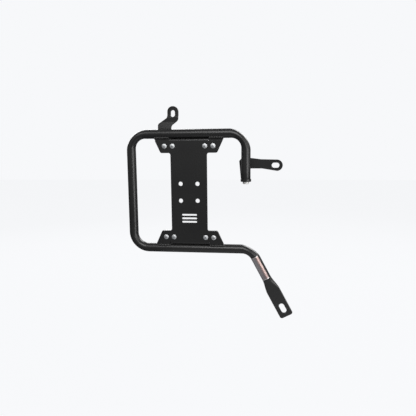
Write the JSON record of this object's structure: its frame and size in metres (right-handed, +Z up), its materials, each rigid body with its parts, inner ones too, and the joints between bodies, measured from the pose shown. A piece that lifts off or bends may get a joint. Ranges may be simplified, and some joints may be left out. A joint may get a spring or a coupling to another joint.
{
  "type": "pannier frame",
  "caption": "Black welded tube frame that carries a side case on a motorcycle, with a riveted sheet plate, slotted lugs and a flattened slotted foot.",
  "frame": {"origin": "centre of the four-hole pattern, on the front face of the centre plate", "axes": "+X to the right as seen from outside the vehicle, -Y out of the plate's front face, +Z up"},
  "size_m": [0.3304, 0.0224, 0.4225],
  "materials": {
    "powder_black": "satin black powder coat on steel",
    "rivet_metal": "dull aluminium, as set",
    "pin_steel": "snapped steel pin",
    "zinc_plate": "bright zinc plate",
    "foil": "metallic foil with a coppery sheen, bare of print"
  },
  "bodies": {
    "root": {"tube_loop": "powder_black", "centre_plate": "powder_black", "tab_upper_left": "powder_black", "tab_upper_right": "powder_black", "tab_lower_left": "powder_black", "tab_lower_right": "powder_black", "rivet_upper_left_outer": "rivet_metal", "rivet_upper_left_inner": "rivet_metal", "rivet_upper_right_outer": "rivet_metal", "rivet_upper_right_inner": "rivet_metal", "rivet_lower_left_outer": "rivet_metal", "rivet_lower_left_inner": "rivet_metal", "rivet_lower_right_outer": "rivet_metal", "rivet_lower_right_inner": "rivet_metal", "rivet_pin_upper_left_outer": "pin_steel", "rivet_pin_upper_left_inner": "pin_steel", "rivet_pin_upper_right_outer": "pin_steel", "rivet_pin_upper_right_inner": "pin_steel", "rivet_pin_lower_left_outer": "pin_steel", "rivet_pin_lower_left_inner": "pin_steel", "rivet_pin_lower_right_outer": "pin_steel", "rivet_pin_lower_right_inner": "pin_steel", "top_lug": "powder_black", "side_lug": "powder_black", "end_collar": "powder_black", "threaded_insert": "zinc_plate", "foil_label": "foil", "weld_tab_upper_left": "powder_black", "weld_tab_upper_right": "powder_black", "weld_tab_lower_left": "powder_black", "weld_tab_lower_right": "powder_black", "weld_top_lug": "powder_black", "weld_side_lug_left": "powder_black", "weld_side_lug_right": "powder_black"}
  },
  "joints": []
}
